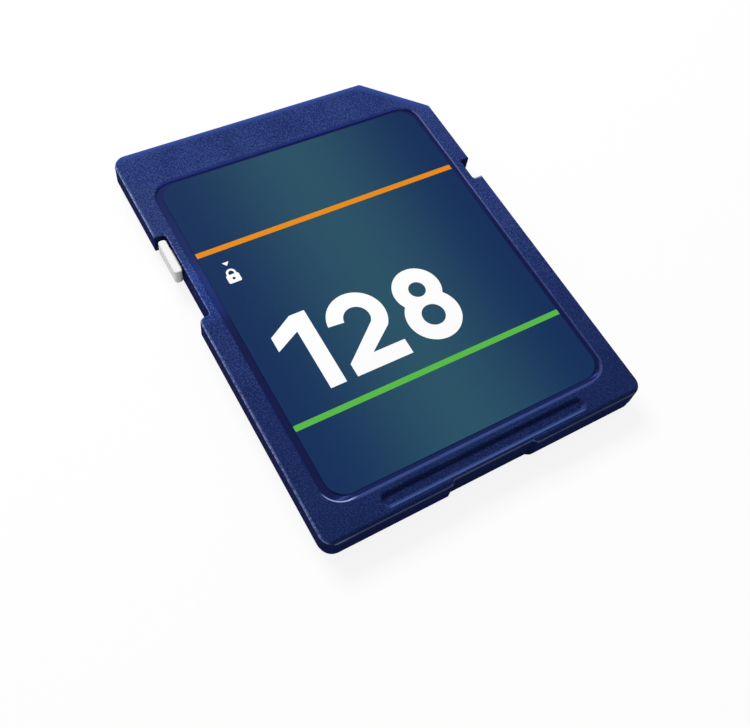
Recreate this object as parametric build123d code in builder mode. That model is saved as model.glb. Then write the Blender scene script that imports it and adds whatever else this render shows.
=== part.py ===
from build123d import *
from math import radians, sqrt, tan
import os

os.makedirs("parts", exist_ok=True)

# Full-size memory card with a write-lock slider. Millimetres.
# X runs across the card, +Y towards the contact end, +Z out of the label face.
# The origin is in the middle of the rear face, which is the lowest plane.

# Card outline
card_width = 24.0
card_length = 32.0
card_thickness = 2.1
corner_cut = 4.0
front_corner_radius = 1.0
rear_corner_radius = 0.9
cut_corner_radius = 0.3
rail_thickness = 1.4
rail_width = 0.8
rail_from_rear = 2.0
rail_end_width = 0.12
rail_end_radius = 0.3
top_edge_radius = 0.15
front_roll_reach = 0.45
front_roll_drop = 0.1
rear_roll_reach = 0.38
rear_roll_drop = 0.16
rear_body_edge_radius = 0.35
seam_bevel = 0.04

# Lock window in the left edge
lock_window_from_front = 7.58
lock_window_length = 7.04
lock_window_depth = 0.8
lock_window_mouth_radius = 0.45
edge_notch_inner_radius = 0.15

# Latch notch in the right edge
latch_notch_from_front = 9.88
latch_notch_length = 1.83
latch_notch_depth = 0.74

# Grip notch and finger groove at the rear end
grip_notch_width = 5.9
grip_notch_slope = 0.28
grip_notch_depth = 0.26
groove_length = 15.3
groove_width = 0.9
groove_depth = 0.3
groove_wall_angle = 30.0
groove_rim_radius = 0.27
groove_strip = 0.05

# Label and the recess that it lies in
label_thickness = 0.1
label_side_gap = 0.44
label_shift = 0.08
label_end_gap = 0.33
label_radius = 1.3
recess_depth = 0.2
recess_radius = 1.45
recess_side_land = 1.38
recess_front_land = 3.3
recess_rear_land = 0.57
recess_wall_angle = 20.0
recess_rim_radius = 0.18
rim_share = 0.9

# Walls around the cavity inside the two covers
front_skin = 0.25
notch_wall = 0.32
end_wall = 0.7
groove_wall = 0.25
cavity_radius = 0.4
post_radius = 0.45
post_inset = 1.0

# Lock slider and the slot that its neck runs in
knob_length = 2.9
knob_front_gap = 0.26
knob_rear_gap = 0.2
knob_side_inset = 0.12
knob_wall_gap = 0.12
knob_top_inset = 0.1
knob_bottom_inset = 0.12
knob_corner_radius = 0.2
knob_edge_radius = 0.1
neck_length = 1.6
slot_height = 0.4
slot_lip = 0.05
slider_clearance = 0.05
flange_length = 2.2
flange_thickness = 0.4
flange_lap = 0.28

# Circuit board
board_thickness = 0.3
board_clearance = 0.1
board_slider_gap = 0.15

# Contact pads in the windows of the rear cover
even_contact_count = 8
contact_thickness = 0.035
contact_length = 4.0
contact_width = 1.7
seventh_contact_width = 1.3
eighth_contact_width = 1.0
contact_pair_gap = 0.475
contact_side_margin = 0.53
contact_front_margin = 0.3
contact_corner_radius = 0.15
window_side_margin = 0.1
window_rear_margin = 0.15

# Flash memory chip
flash_body_width = 15.4
flash_body_length = 12.0
flash_rear_gap = 0.7
chip_headroom = 0.045
flash_standoff = 0.02
lead_count = 24
lead_pitch = 0.48
lead_width = 0.2
lead_thickness = 0.12
lead_reach = 0.8
lead_foot = 0.4

# Controller chip
controller_size = 6.0
controller_gap = 1.2

# Chip capacitors and resistors
passive_length = 1.0
passive_width = 0.5
passive_edge_radius = 0.04
capacitor_height = 0.3
capacitor_gap = 1.0
capacitor_spacing = 1.6
resistor_count = 4
resistor_height = 0.25
resistor_gap = 1.0
resistor_spacing = 1.7

# Edges of the card
left = -card_width / 2
right = card_width / 2
front = card_length / 2
rear = -card_length / 2
corner_cut_line = right + front - corner_cut
rail_rear = rear + rail_from_rear
groove_rim = min(groove_rim_radius, rim_share * groove_depth)
groove_rim_reach = groove_rim * tan(radians((90 - groove_wall_angle) / 2))
groove_rear = rear + grip_notch_depth + top_edge_radius + groove_strip + groove_rim_reach
groove_front = groove_rear + groove_width
groove_y = (groove_rear + groove_front) / 2

# Heights of the layers, from the rear face up
rail_z = card_thickness - rail_thickness
board_z = rail_z + contact_thickness
board_top_z = board_z + board_thickness
recess_floor_z = card_thickness - recess_depth
ceiling_z = recess_floor_z - front_skin
seam_z = ceiling_z - slot_lip - slot_height / 2
component_room = ceiling_z - chip_headroom - board_top_z

# Cavity and board in plan
edge_notch_depth = max(rail_width, lock_window_depth, latch_notch_depth)
cavity_half_width = right - edge_notch_depth - notch_wall
cavity_front = front - end_wall
cavity_rear = groove_front + groove_wall
cavity_cut_line = corner_cut_line - end_wall * sqrt(2)
board_half_width = cavity_half_width - board_clearance
board_front = cavity_front - board_clearance
board_rear = cavity_rear + board_clearance
board_cut_line = cavity_cut_line - board_clearance * sqrt(2)

# Lock slider at rest, which is its unlocked end
window_front = front - lock_window_from_front
window_rear = window_front - lock_window_length
slider_travel = lock_window_length - knob_length - knob_front_gap - knob_rear_gap
knob_y = window_front - knob_front_gap - knob_length / 2
slot_y = knob_y - slider_travel / 2
slot_length = neck_length + slider_travel + 2 * slider_clearance
flange_outer_x = -cavity_half_width + slider_clearance

# Outline of both covers, seen from the label side, anticlockwise from the front left corner
latch_front = front - latch_notch_from_front
latch_rear = latch_front - latch_notch_length
grip_inner = grip_notch_width / 2
grip_outer = grip_inner + grip_notch_slope
outline_corners = [
    ((left, front), front_corner_radius),
    ((left, window_front), 0),
    ((left + lock_window_depth, window_front), edge_notch_inner_radius),
    ((left + lock_window_depth, window_rear), edge_notch_inner_radius),
    ((left, window_rear), lock_window_mouth_radius),
    ((left, rear), rear_corner_radius),
    ((-grip_outer, rear), 0),
    ((-grip_inner, rear + grip_notch_depth), 0),
    ((grip_inner, rear + grip_notch_depth), 0),
    ((grip_outer, rear), 0),
    ((right, rear), rear_corner_radius),
    ((right, latch_rear), 0),
    ((right - latch_notch_depth, latch_rear), edge_notch_inner_radius),
    ((right - latch_notch_depth, latch_front), edge_notch_inner_radius),
    ((right, latch_front), 0),
    ((right, corner_cut_line - right), cut_corner_radius),
    ((corner_cut_line - front, front), cut_corner_radius),
]
with BuildSketch() as card_outline:
    with BuildLine():
        FilletPolyline(
            *[point for point, radius in outline_corners],
            radius=[radius for point, radius in outline_corners],
            close=True,
        )
    make_face()

# Outline of the cavity between the covers, and of the board that fills it
with BuildSketch() as cavity_outline:
    with BuildLine():
        FilletPolyline(
            (-cavity_half_width, cavity_front),
            (-cavity_half_width, cavity_rear),
            (cavity_half_width, cavity_rear),
            (cavity_half_width, cavity_cut_line - cavity_half_width),
            (cavity_cut_line - cavity_front, cavity_front),
            radius=cavity_radius,
            close=True,
        )
    make_face()

board_notch_depth = slider_clearance + flange_thickness + board_slider_gap - board_clearance
with BuildSketch() as board_outline:
    add(cavity_outline.sketch)
    offset(amount=-board_clearance)
    with Locations((-board_half_width, slot_y)):
        Rectangle(
            2 * board_notch_depth,
            flange_length + slider_travel + 2 * board_slider_gap,
            mode=Mode.SUBTRACT,
        )

# Contact pads: number, middle across the card, width and front edge.
# Pads 9 and 1 to 7 are evenly spaced, and pad 8 is a narrow one beside pad 7.
eighth_x = -board_half_width + contact_side_margin + eighth_contact_width / 2
seventh_x = eighth_x + (eighth_contact_width + seventh_contact_width) / 2 + contact_pair_gap
ninth_x = board_half_width - contact_side_margin - contact_width / 2
contact_pitch = (ninth_x - seventh_x) / (even_contact_count - 1)
contact_front = board_front - contact_front_margin
ninth_front = min(
    contact_front,
    board_cut_line - ninth_x - contact_width / 2 - contact_front_margin / 2,
)
contacts = [(9, ninth_x, contact_width, ninth_front)]
for number in range(1, even_contact_count - 1):
    contacts.append((number, ninth_x - number * contact_pitch, contact_width, contact_front))
contacts.append((even_contact_count - 1, seventh_x, seventh_contact_width, contact_front))
contacts.append((even_contact_count, eighth_x, eighth_contact_width, contact_front))

# Windows over the pads: left edge, right edge and the pad's front edge.
# Pads 7 and 8 lie side by side in one window, with no rib between them.
contact_windows = [
    (x - width / 2 - window_side_margin, x + width / 2 + window_side_margin, pad_front)
    for number, x, width, pad_front in contacts[:-2]
]
pair_left = eighth_x - eighth_contact_width / 2 - window_side_margin
pair_right = seventh_x + seventh_contact_width / 2 + window_side_margin
contact_windows.append((pair_left, pair_right, contact_front))

# Rear cover: the thick rear body, the rails and side walls up to the seam
with BuildPart() as rear_cover:
    with BuildSketch():
        with BuildLine():
            FilletPolyline(
                (left + rail_width, front),
                (left + rail_width, rail_rear),
                (left + rail_end_width, rail_rear),
                (left + rail_end_width, rear),
                (right - rail_end_width, rear),
                (right - rail_end_width, rail_rear),
                (right - rail_width, rail_rear),
                (right - rail_width, corner_cut_line - right + rail_width),
                (corner_cut_line - front, front),
                radius=[
                    front_corner_radius,
                    rail_end_radius,
                    rail_end_radius,
                    rear_corner_radius,
                    rear_corner_radius,
                    rail_end_radius,
                    rail_end_radius,
                    cut_corner_radius,
                    cut_corner_radius,
                ],
                close=True,
            )
        make_face()
    extrude(amount=rail_z)
    fillet(rear_cover.edges().group_by(Axis.Z)[0], min(rear_body_edge_radius, rail_z / 2))
    with BuildSketch():
        add(card_outline.sketch)
    extrude(amount=rail_z, mode=Mode.INTERSECT)
    with BuildSketch(Plane.XY.offset(rail_z)):
        add(card_outline.sketch)
    extrude(amount=seam_z - rail_z)
    with BuildSketch(Plane.XY.offset(board_z)):
        add(cavity_outline.sketch)
    extrude(amount=seam_z - board_z, mode=Mode.SUBTRACT)
    # Lower half of the slot that the slider's neck runs in
    with BuildSketch(Plane.XY.offset(seam_z)):
        with Locations((left, slot_y)):
            Rectangle(
                right - cavity_half_width,
                slot_length,
                align=(Align.MIN, Align.CENTER),
            )
    extrude(amount=-slot_height / 2, mode=Mode.SUBTRACT)
    # Contact windows, open towards the leading edge, with ribs left between them
    with BuildSketch():
        for window_left, window_right, pad_front in contact_windows:
            window_rear_y = pad_front - contact_length - window_rear_margin
            with Locations((window_left, window_rear_y)):
                Rectangle(
                    window_right - window_left,
                    front - window_rear_y,
                    align=(Align.MIN, Align.MIN),
                )
    extrude(amount=rail_z, mode=Mode.SUBTRACT)
    with BuildSketch(Plane.XY.offset(rail_z)):
        for window_left, window_right, pad_front in contact_windows:
            window_rear_y = pad_front - contact_length - window_rear_margin
            with Locations((window_left, window_rear_y)):
                Rectangle(
                    window_right - window_left,
                    contact_length + 2 * window_rear_margin,
                    align=(Align.MIN, Align.MIN),
                )
    extrude(amount=contact_thickness, mode=Mode.SUBTRACT)
rear_cover.part.label = "rear_cover"
export_step(rear_cover.part, "parts/rear_cover.step")

# Front cover: the label-side shell, with its recess, groove and hold-down posts
recess_front = front - recess_front_land
recess_rear = groove_front + recess_rear_land
recess_y = (recess_front + recess_rear) / 2
recess_length = recess_front - recess_rear
recess_width = card_width - 2 * recess_side_land
front_edge = Plane(origin=(0, front, 0), x_dir=(0, 1, 0), z_dir=(1, 0, 0))
cut_edge = Plane(
    origin=(right - corner_cut / 2, front - corner_cut / 2, 0),
    x_dir=(1, 1, 0),
    z_dir=(1, -1, 0),
)
rear_edge = Plane(origin=(0, rear, 0), x_dir=(0, -1, 0), z_dir=(-1, 0, 0))
rolled_edges = [
    (front_edge, front_roll_reach, front_roll_drop),
    (cut_edge, front_roll_reach, front_roll_drop),
    (rear_edge, rear_roll_reach, rear_roll_drop),
]
post_x = cavity_half_width - post_inset
post_places = [
    (-post_x, cavity_front - post_inset),
    (post_x, cavity_cut_line - post_x - post_inset * sqrt(2)),
    (-post_x, cavity_rear + post_inset),
    (post_x, cavity_rear + post_inset),
]
with BuildPart() as front_cover:
    with BuildSketch(Plane.XY.offset(seam_z)):
        add(card_outline.sketch)
    extrude(amount=card_thickness - seam_z)
    fillet(
        front_cover.faces().sort_by(Axis.Z)[-1].outer_wire().edges(),
        min(top_edge_radius, (card_thickness - seam_z) / 2),
    )
    chamfer(front_cover.faces().sort_by(Axis.Z)[0].outer_wire().edges(), seam_bevel)
    with BuildSketch(Plane.XY.offset(card_thickness)):
        with Locations((0, recess_y)):
            RectangleRounded(recess_width, recess_length, recess_radius)
    extrude(amount=-recess_depth, taper=recess_wall_angle, mode=Mode.SUBTRACT)
    recess_edge = front_cover.faces().sort_by(Axis.Z)[-1].inner_wires()[0]
    fillet(recess_edge.edges(), min(recess_rim_radius, rim_share * recess_depth))
    with BuildSketch(Plane.XY.offset(card_thickness)):
        with Locations((0, groove_y)):
            SlotOverall(groove_length, groove_width)
    extrude(amount=-groove_depth, taper=groove_wall_angle, mode=Mode.SUBTRACT)
    groove_edge = front_cover.faces().sort_by(Axis.Z)[-1].inner_wires().sort_by(Axis.Y)[0]
    fillet(groove_edge.edges(), groove_rim)
    # The label face rolls down to the front edge, the cut corner and the rear edge
    for edge_plane, roll_reach, roll_drop in rolled_edges:
        with BuildSketch(edge_plane):
            with BuildLine():
                Polyline(
                    (-roll_reach, card_thickness),
                    (0, card_thickness),
                    (0, card_thickness - roll_drop),
                )
                TangentArc(
                    (-roll_reach, card_thickness),
                    (0, card_thickness - roll_drop),
                    tangent=(1, 0),
                )
            make_face()
        extrude(amount=card_width, both=True, mode=Mode.SUBTRACT)
    with BuildSketch(Plane.XY.offset(seam_z)):
        add(cavity_outline.sketch)
    extrude(amount=ceiling_z - seam_z, mode=Mode.SUBTRACT)
    # Upper half of the slot that the slider's neck runs in
    with BuildSketch(Plane.XY.offset(seam_z)):
        with Locations((left, slot_y)):
            Rectangle(
                right - cavity_half_width,
                slot_length,
                align=(Align.MIN, Align.CENTER),
            )
    extrude(amount=slot_height / 2, mode=Mode.SUBTRACT)
    # Posts that hold the board down on the rear cover
    with BuildSketch(Plane.XY.offset(ceiling_z)):
        with Locations(*post_places):
            Circle(post_radius)
    extrude(amount=board_top_z - ceiling_z)
front_cover.part.label = "front_cover"
export_step(front_cover.part, "parts/front_cover.step")

# Lock slider: knob in the window, neck through the slot, flange behind the wall
knob_inner_x = left + lock_window_depth - knob_wall_gap
knob_outer_x = left + knob_side_inset
knob_z = rail_z + knob_bottom_inset
knob_top_z = card_thickness - knob_top_inset
flange_bottom_z = seam_z - slot_height / 2 - flange_lap
flange_top_z = ceiling_z - slider_clearance
with BuildPart() as lock_slider:
    with BuildSketch(Plane.XY.offset(knob_z)):
        with Locations(((knob_inner_x + knob_outer_x) / 2, knob_y)):
            RectangleRounded(knob_inner_x - knob_outer_x, knob_length, knob_corner_radius)
    extrude(amount=knob_top_z - knob_z)
    fillet(
        lock_slider.edges().group_by(Axis.Z)[0] + lock_slider.edges().group_by(Axis.Z)[-1],
        knob_edge_radius,
    )
    neck_thickness = slot_height - 2 * slider_clearance
    with BuildSketch(Plane.XY.offset(seam_z - neck_thickness / 2)):
        with Locations((knob_inner_x - knob_corner_radius, knob_y)):
            Rectangle(
                flange_outer_x - knob_inner_x + knob_corner_radius,
                neck_length,
                align=(Align.MIN, Align.CENTER),
            )
    extrude(amount=neck_thickness)
    with BuildSketch(Plane.XY.offset(flange_bottom_z)):
        with Locations((flange_outer_x, knob_y)):
            Rectangle(flange_thickness, flange_length, align=(Align.MIN, Align.CENTER))
    extrude(amount=flange_top_z - flange_bottom_z)
lock_slider.part.label = "lock_slider"
export_step(lock_slider.part, "parts/lock_slider.step")

# Front label: printed film on the floor of the recess
with BuildPart() as front_label:
    with BuildSketch(Plane.XY.offset(recess_floor_z)):
        with Locations((label_shift, recess_y)):
            RectangleRounded(
                recess_width - 2 * label_side_gap,
                recess_length - 2 * label_end_gap,
                label_radius,
            )
    extrude(amount=label_thickness)
front_label.part.label = "front_label"
export_step(front_label.part, "parts/front_label.step")

# Circuit board, lying on the rear cover
with BuildPart() as circuit_board:
    with BuildSketch(Plane.XY.offset(board_z)):
        add(board_outline.sketch)
    extrude(amount=board_thickness)
circuit_board.part.label = "circuit_board"
export_step(circuit_board.part, "parts/circuit_board.step")

# Contact pads on the underside of the board
for number, x, width, pad_front in contacts:
    with BuildPart() as contact:
        with BuildSketch(Plane.XY.offset(rail_z)):
            with Locations((x, pad_front - contact_length / 2)):
                RectangleRounded(width, contact_length, contact_corner_radius)
        extrude(amount=contact_thickness)
    contact.part.label = f"contact_{number}"
    export_step(contact.part, f"parts/contact_{number}.step")

# Flash memory chip: moulded body, and a row of bent leads at each end
flash_y = board_rear + flash_rear_gap + flash_body_length / 2
flash_height = component_room - flash_standoff
with BuildPart() as flash_chip:
    with Locations((0, flash_y, board_top_z + flash_standoff)):
        Box(
            flash_body_width,
            flash_body_length,
            flash_height,
            align=(Align.CENTER, Align.CENTER, Align.MIN),
        )
flash_chip.part.label = "flash_chip"
export_step(flash_chip.part, "parts/flash_chip.step")

shoulder_z = board_top_z + flash_standoff + flash_height / 2
lead_root_x = flash_body_width / 2
lead_tip_x = lead_root_x + lead_reach
lead_heel_x = lead_tip_x - lead_foot
lead_shin_x = lead_heel_x - lead_thickness
first_lead_y = flash_y - lead_pitch * (lead_count - 1) / 2
lead_planes = [Plane.XZ.offset(-first_lead_y - index * lead_pitch) for index in range(lead_count)]
for side_name, side in (("left", -1), ("right", 1)):
    with BuildPart() as flash_leads:
        with BuildSketch(*lead_planes):
            with BuildLine():
                Polyline(
                    (side * lead_root_x, shoulder_z - lead_thickness / 2),
                    (side * lead_shin_x, shoulder_z - lead_thickness / 2),
                    (side * lead_shin_x, board_top_z),
                    (side * lead_tip_x, board_top_z),
                    (side * lead_tip_x, board_top_z + lead_thickness),
                    (side * lead_heel_x, board_top_z + lead_thickness),
                    (side * lead_heel_x, shoulder_z + lead_thickness / 2),
                    (side * lead_root_x, shoulder_z + lead_thickness / 2),
                    close=True,
                )
            make_face()
        extrude(amount=lead_width / 2, both=True)
    flash_leads.part.label = f"flash_leads_{side_name}"
    export_step(flash_leads.part, f"parts/flash_leads_{side_name}.step")

# Controller chip, between the flash chip and the contacts
controller_y = flash_y + flash_body_length / 2 + controller_gap + controller_size / 2
with BuildPart() as controller_chip:
    with Locations((0, controller_y, board_top_z)):
        Box(
            controller_size,
            controller_size,
            component_room,
            align=(Align.CENTER, Align.CENTER, Align.MIN),
        )
controller_chip.part.label = "controller_chip"
export_step(controller_chip.part, "parts/controller_chip.step")

# Chip capacitors beside the controller, two on each side
capacitor_x = controller_size / 2 + capacitor_gap + passive_length / 2
capacitor_places = [
    (side * capacitor_x, controller_y + end * capacitor_spacing / 2)
    for side in (-1, 1)
    for end in (-1, 1)
]
for number, place in enumerate(capacitor_places, start=1):
    with BuildPart() as capacitor:
        with BuildSketch(Plane.XY.offset(board_top_z)):
            with Locations(place):
                Rectangle(passive_length, passive_width)
        extrude(amount=capacitor_height)
        fillet(capacitor.edges().group_by(Axis.Z)[-1], passive_edge_radius)
    capacitor.part.label = f"capacitor_{number}"
    export_step(capacitor.part, f"parts/capacitor_{number}.step")

# Chip resistors in a row between the controller and the contacts
resistor_y = controller_y + controller_size / 2 + resistor_gap + passive_width / 2
first_resistor_x = -resistor_spacing * (resistor_count - 1) / 2
resistor_places = [
    (first_resistor_x + index * resistor_spacing, resistor_y) for index in range(resistor_count)
]
for number, place in enumerate(resistor_places, start=1):
    with BuildPart() as resistor:
        with BuildSketch(Plane.XY.offset(board_top_z)):
            with Locations(place):
                Rectangle(passive_length, passive_width)
        extrude(amount=resistor_height)
        fillet(resistor.edges().group_by(Axis.Z)[-1], passive_edge_radius)
    resistor.part.label = f"resistor_{number}"
    export_step(resistor.part, f"parts/resistor_{number}.step")
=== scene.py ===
from math import acos, cos, degrees, radians, sin

import bpy
from mathutils import Matrix, Vector


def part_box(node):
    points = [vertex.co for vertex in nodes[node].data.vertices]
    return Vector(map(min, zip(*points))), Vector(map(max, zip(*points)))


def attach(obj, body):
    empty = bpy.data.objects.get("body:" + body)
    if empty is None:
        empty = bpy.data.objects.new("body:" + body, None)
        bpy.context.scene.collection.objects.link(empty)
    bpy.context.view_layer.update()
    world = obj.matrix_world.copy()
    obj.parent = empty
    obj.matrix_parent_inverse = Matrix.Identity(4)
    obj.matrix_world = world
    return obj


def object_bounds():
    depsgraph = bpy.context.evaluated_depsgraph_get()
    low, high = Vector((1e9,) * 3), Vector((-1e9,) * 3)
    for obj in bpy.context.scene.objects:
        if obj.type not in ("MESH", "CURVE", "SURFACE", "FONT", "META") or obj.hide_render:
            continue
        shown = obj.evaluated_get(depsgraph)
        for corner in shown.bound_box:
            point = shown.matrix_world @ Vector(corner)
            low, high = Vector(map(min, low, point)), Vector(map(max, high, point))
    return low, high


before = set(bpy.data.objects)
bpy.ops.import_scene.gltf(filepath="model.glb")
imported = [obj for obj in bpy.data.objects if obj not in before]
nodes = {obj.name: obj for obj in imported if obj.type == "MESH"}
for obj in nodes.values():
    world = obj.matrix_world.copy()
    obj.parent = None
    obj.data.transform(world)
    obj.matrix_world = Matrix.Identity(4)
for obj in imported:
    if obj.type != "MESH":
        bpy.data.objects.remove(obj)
cad_low, cad_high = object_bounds()

# Rear cover: the contact-side half of the case, moulded in dark blue plastic.
# The mould's flat faces are spark-eroded, so the flats carry a fine pale grain and the walls
# are smooth and painted darker, as painted shade. It is welded to the front cover all round the seam.
mm = 0.001


def new_finish(name, same_all_over):
    """A material; the given shader sockets keep one value over the whole surface."""
    finish = bpy.data.materials.new(name)
    finish.use_nodes = True
    shader = finish.node_tree.nodes["Principled BSDF"]
    for socket, value in same_all_over.items():
        shader.inputs[socket].default_value = value
    return finish


def put(finish, kind, inputs, **settings):
    """One new node; each input is a plain value or another node's output."""
    node = finish.node_tree.nodes.new(kind)
    for name, value in settings.items():
        setattr(node, name, value)
    for key, value in inputs.items():
        if isinstance(value, bpy.types.NodeSocket):
            finish.node_tree.links.new(value, node.inputs[key])
        else:
            node.inputs[key].default_value = value
    return node


def to_shader(finish, socket, source):
    """Leads a node's output into the finish's shader."""
    shader = finish.node_tree.nodes["Principled BSDF"]
    finish.node_tree.links.new(source, shader.inputs[socket])


def calc(finish, operation, *values):
    """One step of arithmetic on node outputs."""
    return put(finish, "ShaderNodeMath", dict(enumerate(values)), operation=operation).outputs[0]


def scaled(finish, vector, amount):
    """A place or a colour times a number or a node's output."""
    inputs = {0: vector, "Scale": amount}
    return put(finish, "ShaderNodeVectorMath", inputs, operation="SCALE").outputs["Vector"]


def split(finish, vector):
    """A vector's X, Y and Z."""
    return put(finish, "ShaderNodeSeparateXYZ", {"Vector": vector}).outputs


def spot(finish):
    """The place on the piece, in millimetres of the card's frame."""
    return scaled(finish, put(finish, "ShaderNodeTexCoord", {}).outputs["Object"], 1 / mm)


def facing_of(finish):
    """Which way the surface faces, as X, Y and Z of the card's frame."""
    return split(finish, put(finish, "ShaderNodeTexCoord", {}).outputs["Normal"])


def mottle(finish, place, size, detail=2.0):
    """Soft random patches about size millimetres across, from 0 to 1."""
    noise = put(finish, "ShaderNodeTexNoise", {"Vector": place, "Scale": 1 / size, "Detail": detail})
    return noise.outputs["Fac"]


def fade(finish, value, start, end, low=0.0, high=1.0, course="SMOOTHSTEP"):
    """Goes from low at start to high at end, smoothly or on a LINEAR course."""
    inputs = {"Value": value, "From Min": start, "From Max": end, "To Min": low, "To Max": high}
    return put(finish, "ShaderNodeMapRange", inputs, interpolation_type=course).outputs["Result"]


def shades(finish, value, *stops, easing="LINEAR"):
    """A run of colours along a value; each stop is a place and a colour."""
    ramp = put(finish, "ShaderNodeValToRGB", {"Fac": value})
    run = ramp.color_ramp
    run.interpolation = easing
    run.elements[1].position = stops[-1][0]
    run.elements[0].position = stops[0][0]
    for place, _ in stops[1:-1]:
        run.elements.new(place)
    for element, (_, colour) in zip(run.elements, stops):
        element.color = (*colour, 1)
    return ramp.outputs["Color"]


def over(finish, amount, below, above):
    """One colour laid over another by an amount from 0 to 1."""
    # The mix node's colour sockets have the same names as its other sockets, so they go by number.
    below_socket = 6
    above_socket = 7
    mixed_socket = 2
    inputs = {0: amount}
    for socket, colour in ((below_socket, below), (above_socket, above)):
        inputs[socket] = (*colour, 1) if isinstance(colour, tuple) else colour
    return put(finish, "ShaderNodeMix", inputs, data_type="RGBA").outputs[mixed_socket]


def relief(finish, height, depth):
    """Bump of the given depth in millimetres."""
    bump = put(finish, "ShaderNodeBump", {"Height": height, "Distance": depth * mm, "Strength": 1.0})
    to_shader(finish, "Normal", bump.outputs["Normal"])


def dress(names, finish):
    """Gives CAD nodes a finish."""
    for name in names:
        nodes[name].data.materials.clear()
        nodes[name].data.materials.append(finish)


fine_detail = 3.0
case_gloss = 0.02
case_wall_roughness = 0.95
case_flat_roughness = 0.62
case_flat_tilt = (0.25, 0.60)
case_grain_size = 0.092
case_grain_depth = 0.008
case_patch_size = 3.5
case_patch_share = 0.16
case_wall_shaded_blue = (0.0063, 0.0113, 0.0649)
case_grain_dark = (0.0050, 0.0132, 0.0712)
case_grain_mid = (0.0129, 0.0293, 0.1360)
case_grain_pale = (0.0541, 0.0829, 0.2658)
case_grain_shades = ((0.40, case_grain_dark), (0.57, case_grain_mid), (0.78, case_grain_pale))


def case_plastic(name):
    """Dark blue plastic, with grain on faces that lie flat in the mould."""
    plastic = new_finish(name, {"Specular IOR Level": case_gloss})
    place = spot(plastic)
    facing = facing_of(plastic)
    flat = fade(plastic, calc(plastic, "ABSOLUTE", facing["Z"]), *case_flat_tilt)
    grain = mottle(plastic, place, case_grain_size, fine_detail)
    patches = mottle(plastic, place, case_patch_size)
    flecks = calc(plastic, "ADD", grain, calc(plastic, "MULTIPLY", patches, case_patch_share))
    # The walls take a darker colour than the flats: painted shade.
    colour = over(plastic, flat, case_wall_shaded_blue, shades(plastic, flecks, *case_grain_shades))
    roughness = fade(plastic, flat, 0.0, 1.0, case_wall_roughness, case_flat_roughness)
    to_shader(plastic, "Base Color", colour)
    to_shader(plastic, "Roughness", roughness)
    relief(plastic, calc(plastic, "MULTIPLY", grain, flat), case_grain_depth)
    return plastic, place, facing, colour


rear_plastic, *_ = case_plastic("rear_cover_plastic")
dress(["rear_cover"], rear_plastic)

# Circuit board: glass-fibre laminate with a green solder mask over copper tracks.
# It lies on the rear cover, and the front cover's posts hold it down.
mask_gloss = 0.45
mask_roughness = (0.2, 0.8, 0.28, 0.42)
mask_depth = 0.006
mask_green = (0.006, 0.050, 0.022)
mask_over_track = (0.014, 0.098, 0.040)
via_tin = (0.46, 0.40, 0.27)
laminate_edge = (0.20, 0.17, 0.07)
board_face_tilt = (0.4, 0.6)
track_pitch = 0.42
track_edge = (0.24 * track_pitch, 0.30 * track_pitch)
track_field_size = 3.2
turned_field_share = 0.5
via_spacing = 1.3
via_radius = 0.13
via_bore = 0.8 * via_radius
weave_size = 0.25
weave_shows = (0.45, 0.75, 0.0, 0.25)

laminate = new_finish("board_laminate", {"Specular IOR Level": mask_gloss})
place = spot(laminate)
board_xyz = split(laminate, place)
track_fields = put(
    laminate,
    "ShaderNodeTexVoronoi",
    {"Vector": place, "Scale": 1 / track_field_size},
    voronoi_dimensions="2D",
    distance="CHEBYCHEV",
)
field_lot = split(laminate, track_fields.outputs["Color"])["X"]
field_turn = calc(laminate, "GREATER_THAN", field_lot, turned_field_share)
track_x = calc(laminate, "PINGPONG", board_xyz["X"], track_pitch / 2)
track_y = calc(laminate, "PINGPONG", board_xyz["Y"], track_pitch / 2)
track_line = fade(laminate, field_turn, 0.0, 1.0, track_x, track_y, course="LINEAR")
tracks = fade(laminate, track_line, *track_edge)
via_field = put(
    laminate,
    "ShaderNodeTexVoronoi",
    {"Vector": place, "Scale": 1 / via_spacing},
    voronoi_dimensions="2D",
)
via_reach = calc(laminate, "MULTIPLY", via_field.outputs["Distance"], via_spacing)
vias = fade(laminate, via_reach, via_radius, via_bore)
weave = mottle(laminate, place, weave_size)
mask_colour = over(laminate, tracks, mask_green, mask_over_track)
mask_colour = over(laminate, fade(laminate, weave, *weave_shows), mask_colour, mask_over_track)
mask_colour = over(laminate, vias, mask_colour, via_tin)
board_face = fade(laminate, calc(laminate, "ABSOLUTE", facing_of(laminate)["Z"]), *board_face_tilt)
to_shader(laminate, "Base Color", over(laminate, board_face, laminate_edge, mask_colour))
to_shader(laminate, "Roughness", fade(laminate, weave, *mask_roughness))
relief(laminate, calc(laminate, "ADD", tracks, weave), mask_depth)
dress(["circuit_board"], laminate)

# Contact pads: nine copper pads plated with nickel and hard gold on the board's underside.
# The spring contacts of a socket wipe along them, which leaves faint bright streaks.
pad_count = 9
gold = (0.80, 0.55, 0.19)
gold_wiped = (0.93, 0.72, 0.36)
gold_tarnish = (0.55, 0.33, 0.10)
gold_roughness = (0.3, 0.7, 0.20, 0.36)
wipe_width = 0.09
wipe_length = 2.6
wipe_depth = 0.002
wipe_shows = (0.48, 0.70)
wiped_track = (0.12, 0.42)
tarnish_size = 0.7
tarnish_shows = (0.50, 0.80, 0.0, 0.45)


def share_of_box(finish):
    """The place within the piece's own box, from 0 to 1 each way."""
    return split(finish, put(finish, "ShaderNodeTexCoord", {}).outputs["Generated"])


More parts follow.
